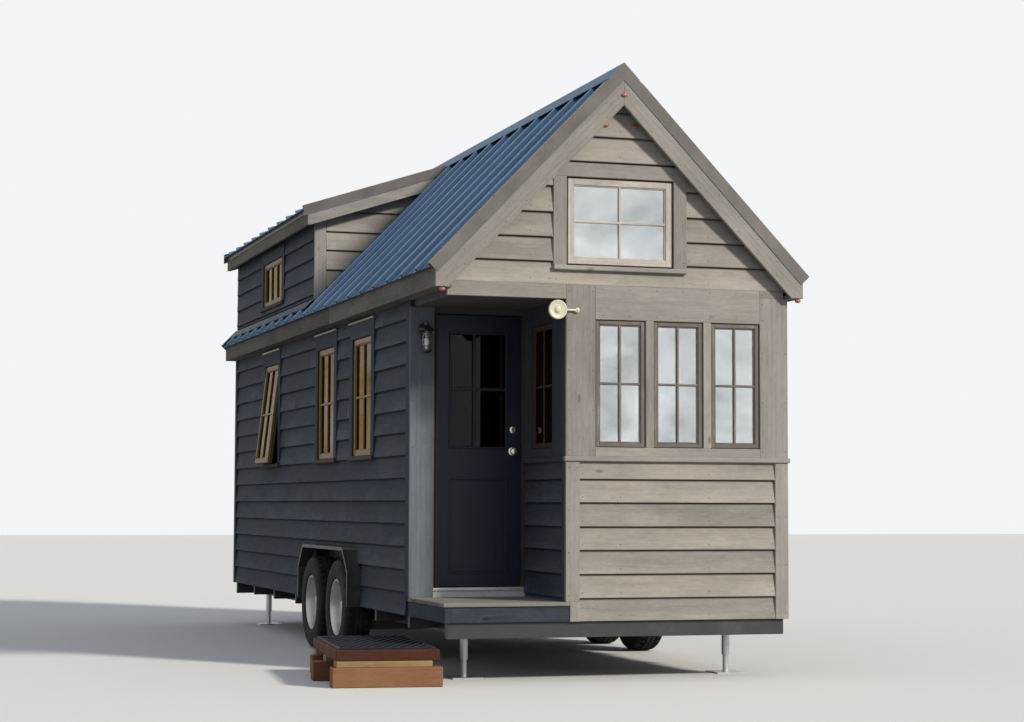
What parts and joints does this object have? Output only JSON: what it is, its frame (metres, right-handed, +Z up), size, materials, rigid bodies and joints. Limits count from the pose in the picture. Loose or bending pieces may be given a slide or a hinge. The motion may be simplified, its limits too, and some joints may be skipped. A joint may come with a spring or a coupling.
{
  "type": "tiny house on wheels",
  "caption": "Small timber house on a road trailer, with a corner porch, a lapped-board body, a steep ribbed metal roof with shed dormers, and a timber step.",
  "frame": {"origin": "on the ground, under the middle of the box round the house, its drawbar and its step", "axes": "+Z up, +Y from the porch end towards the drawbar, +X to the right seen from the porch end"},
  "size_m": [3.1928, 8.6888, 3.96],
  "materials": {
    "frame_steel": "satin black paint",
    "jack_zinc": "zinc plate",
    "tyre": "matt rubber",
    "rim_steel": "silver paint",
    "plain_timber": "unpainted softwood",
    "wall_frame": "timber frame with lining",
    "siding_shade": "weathered stain",
    "deck_boards": "weathered grey",
    "trim_stain": "semi-transparent grey stain",
    "siding_stain": "semi-transparent grey stain",
    "door_frame": "dark brown stain",
    "sill_metal": "mill finish",
    "roof_metal": "satin slate blue",
    "flashing": "satin charcoal",
    "sash_cladding": "bronze",
    "window_glass": "clear",
    "door_paint": "satin navy paint",
    "satin_metal": "satin nickel",
    "lantern_black": "satin black",
    "lantern_glass": "clear",
    "cream_plastic": "cream",
    "red_lens": "red lens",
    "step_timber": "red-brown stain",
    "mat_rubber": "black rubber"
  },
  "bodies": {
    "house": {"trailer_rails": "frame_steel", "cross_members": "frame_steel", "drawbar": "frame_steel", "jacks": "jack_zinc", "axles": "frame_steel", "tyres": "tyre", "wheel_rims": "rim_steel", "fenders": "frame_steel", "floor": "plain_timber", "porch_joists": "siding_shade", "porch_deck": "deck_boards", "left_wall": "wall_frame", "right_wall": "wall_frame", "rear_wall": "wall_frame", "bay_wall": "wall_frame", "bay_side_wall": "wall_frame", "gable_wall": "wall_frame", "porch_beams": "trim_stain", "porch_ceiling": "plain_timber", "door_header": "door_frame", "door_jambs": "door_frame", "door_sill": "sill_metal", "dormer_walls": "wall_frame", "dormer_cheeks": "wall_frame", "left_roof_deck": "plain_timber", "right_roof_deck": "plain_timber", "eave_decks": "plain_timber", "left_roof_sheet": "roof_metal", "right_roof_sheet": "roof_metal", "ridge_cap": "roof_metal", "dormer_roofs": "plain_timber", "dormer_sheets": "roof_metal", "rake_boards": "trim_stain", "rake_flashing": "flashing", "eave_fascias": "trim_stain", "dormer_trim": "trim_stain", "corner_boards": "trim_stain", "trim_bands": "trim_stain", "bay_trim": "trim_stain", "window_casings": "trim_stain", "front_siding": "siding_stain", "left_siding": "siding_stain", "right_siding": "siding_stain", "rear_siding": "siding_stain", "dormer_siding": "siding_stain", "window_sashes": "sash_cladding", "window_glass": "window_glass", "door_hinges": "satin_metal", "lantern_body": "lantern_black", "lantern_globe": "lantern_glass", "wall_disc": "cream_plastic", "marker_lights": "red_lens", "step_timbers": "step_timber", "step_mat": "mat_rubber"},
    "door": {"door_leaf": "door_paint", "door_glass": "window_glass", "door_hardware": "satin_metal"}
  },
  "joints": [
    {"name": "door_swing", "type": "hinge", "parent": "house", "child": "door", "pos_m": [-0.67955, -3.19351, 0.56], "axis": [0, 0, 1], "range_deg": [0, 88]}
  ]
}
